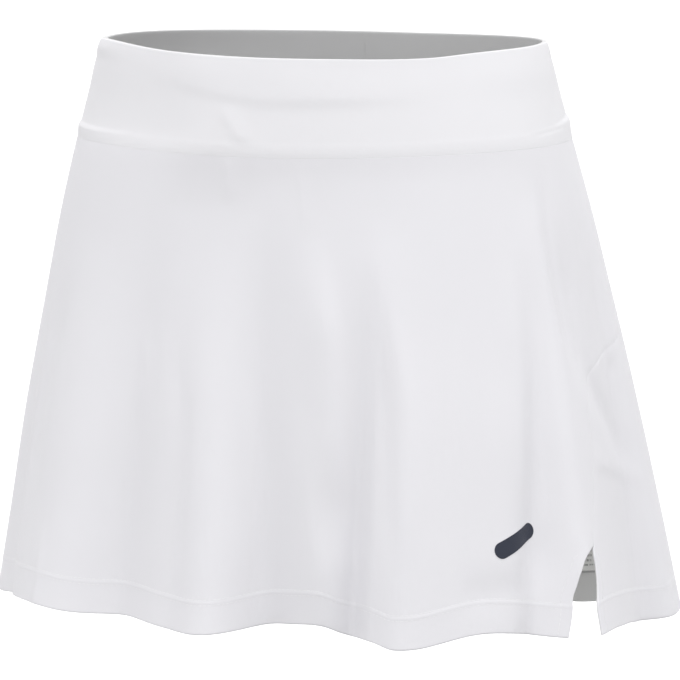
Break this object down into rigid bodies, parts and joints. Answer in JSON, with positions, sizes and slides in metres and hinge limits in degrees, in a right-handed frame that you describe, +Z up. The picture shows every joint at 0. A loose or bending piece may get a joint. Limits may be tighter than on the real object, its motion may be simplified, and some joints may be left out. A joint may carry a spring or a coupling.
{
  "type": "tennis skirt",
  "caption": "Short flared knit skirt with a wide elastic waistband, a curved side seam ending in a slit, and a soft wavy hem, filled out and open at waist and hem.",
  "frame": {"origin": "centre of the waist opening, level with the band's top edge at the sides, where the wearer holds the skirt up", "axes": "+Z up; -Y to the front, the way the wearer faces; +X to the wearer's left, the side with the slit"},
  "size_m": [0.427, 0.3578, 0.3652],
  "materials": {
    "white_knit": "smooth fine-gauge polyester knit, soft sheen",
    "label_satin": "woven satin label, pale grey"
  },
  "bodies": {
    "root": {"waistband": "white_knit", "front_panel": "white_knit", "back_panel": "white_knit", "care_label": "label_satin"}
  },
  "joints": []
}
